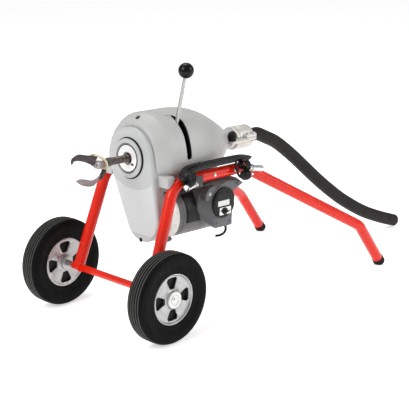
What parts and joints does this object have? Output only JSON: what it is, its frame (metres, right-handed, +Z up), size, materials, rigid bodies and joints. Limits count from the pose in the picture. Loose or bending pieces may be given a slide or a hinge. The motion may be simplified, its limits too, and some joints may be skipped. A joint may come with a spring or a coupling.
{
  "type": "wheeled sectional drain cleaning machine",
  "caption": "Wheeled drain cleaning machine: red tube frame, tilted grey clutch drum with hand lever, belt driven by a motor below, guide hose behind, cable with saw-tooth cutter in front.",
  "frame": {"origin": "on the floor under the centre of the whole machine's footprint, 551.6 mm behind the wheel axle", "axes": "+X rearwards to the guide hose, -X to the cutter, +Y to the machine's left as seen from behind the cutter, +Z up; operator's lever and switch are on -Y"},
  "size_m": [1.3681, 0.5346, 0.7182],
  "materials": {
    "red_paint": "gloss",
    "grey_paint": "satin",
    "dark_paint": "satin",
    "zinc": "bright zinc plate",
    "alu": "cast, satin",
    "steel": "machined",
    "cast": "matt",
    "rubber": "matt",
    "tyre": "matt",
    "black_plastic": "gloss",
    "black_matt": "matt"
  },
  "bodies": {
    "frame": {"side_tube_left": "red_paint", "side_tube_right": "red_paint", "cross_tube": "red_paint", "axle": "zinc", "rubber_foot_left": "rubber", "rubber_foot_right": "rubber", "axle_cap_left": "zinc", "axle_cap_right": "zinc", "belt_guard": "grey_paint", "drum_front": "grey_paint", "drum_rear": "grey_paint", "rear_nozzle": "grey_paint", "front_bearing": "steel", "rear_bearing": "steel", "drive_belt": "rubber", "bracket_front_left": "cast", "bracket_front_right": "cast", "bracket_rear_left": "cast", "bracket_rear_right": "cast", "motor_front_bell": "alu", "motor_shell": "dark_paint", "motor_rear_bell": "dark_paint", "motor_stator": "cast", "motor_side_plate": "black_matt", "motor_hanger": "dark_paint", "switch_housing": "dark_paint", "switch_cover": "black_matt", "switch_plate": "zinc", "cord_loop": "rubber", "cord_horn_front": "zinc", "cord_horn_rear": "zinc", "power_cord": "rubber", "cord_plug": "black_matt", "clamp_upper": "alu", "clamp_lower": "alu", "clamp_bolt_1": "zinc", "clamp_bolt_2": "zinc", "guide_hose": "rubber"},
    "wheel_left": {"tyre_left": "tyre", "rim_left": "alu"},
    "wheel_right": {"tyre_right": "tyre", "rim_right": "alu"},
    "spindle": {"spindle_tube": "steel", "front_hub_plate": "zinc", "drive_pulley": "cast"},
    "jaw_1": {"clutch_jaw_1": "cast"},
    "jaw_2": {"clutch_jaw_2": "cast"},
    "jaw_3": {"clutch_jaw_3": "cast"},
    "motor_rotor": {"motor_rotor": "steel", "motor_pulley": "cast"},
    "lever": {"cam_ring": "cast", "lever_rod": "zinc", "lever_ball": "black_plastic"},
    "thrust": {"thrust_ring": "steel"},
    "cable": {"cable": "cast", "cable_coupling": "steel", "cutter_blade": "cast", "cutter_bolt": "zinc"},
    "switch": {"switch_knob": "black_plastic"},
    "knob": {"clamp_knob": "black_plastic"}
  },
  "joints": [
    {"name": "wheel_left_spin", "type": "hinge", "parent": "frame", "child": "wheel_left", "pos_m": [-0.5516, 0.22, 0.127], "axis": [0, 1, 0], "continuous": true},
    {"name": "wheel_right_spin", "type": "hinge", "parent": "frame", "child": "wheel_right", "pos_m": [-0.5516, -0.22, 0.127], "axis": [0, 1, 0], "continuous": true},
    {"name": "spindle_spin", "type": "hinge", "parent": "frame", "child": "spindle", "pos_m": [-0.35187, 0, 0.45203], "axis": [0.9986, 0, -0.0523], "continuous": true},
    {"name": "motor_spin", "type": "hinge", "parent": "frame", "child": "motor_rotor", "pos_m": [-0.36025, -0.058, 0.29225], "axis": [0.9986, 0, -0.0523], "continuous": true},
    {"name": "lever_swing", "type": "hinge", "parent": "frame", "child": "lever", "pos_m": [-0.36266, 0, 0.4526], "axis": [0.9986, 0, -0.0523], "range_deg": [-3, 47]},
    {"name": "thrust_slide", "type": "slide", "parent": "frame", "child": "thrust", "axis": [-0.9986, 0, 0.0523], "range_m": [-0.0006, 0.0063]},
    {"name": "cable_feed", "type": "slide", "parent": "spindle", "child": "cable", "axis": [-0.9986, 0, 0.0523], "range_m": [0, 0.15]},
    {"name": "switch_turn", "type": "hinge", "parent": "frame", "child": "switch", "pos_m": [-0.27053, -0.168, 0.29406], "axis": [0, 1, 0], "range_deg": [-45, 45]},
    {"name": "clamp_knob_turn", "type": "hinge", "parent": "frame", "child": "knob", "pos_m": [-0.11368, -0.046, 0.44956], "axis": [0.0523, 0, 0.9986], "continuous": true},
    {"name": "jaw_1_slide", "type": "slide", "parent": "spindle", "child": "jaw_1", "axis": [-0.0523, 0, -0.9986], "range_m": [-0.0003, 0.0022]},
    {"name": "jaw_2_slide", "type": "slide", "parent": "spindle", "child": "jaw_2", "axis": [0.0262, 0.866, 0.4993], "range_m": [-0.0003, 0.0022]},
    {"name": "jaw_3_slide", "type": "slide", "parent": "spindle", "child": "jaw_3", "axis": [0.0262, -0.866, 0.4993], "range_m": [-0.0003, 0.0022]}
  ],
  "couplings": [
    {"joint": "motor_spin", "follows": "spindle_spin", "ratio": 2.4},
    {"joint": "thrust_slide", "follows": "lever_swing", "m_per_rad": 0.0075},
    {"joint": "jaw_1_slide", "follows": "lever_swing", "m_per_rad": 0.0025},
    {"joint": "jaw_2_slide", "follows": "lever_swing", "m_per_rad": 0.0025},
    {"joint": "jaw_3_slide", "follows": "lever_swing", "m_per_rad": 0.0025}
  ]
}
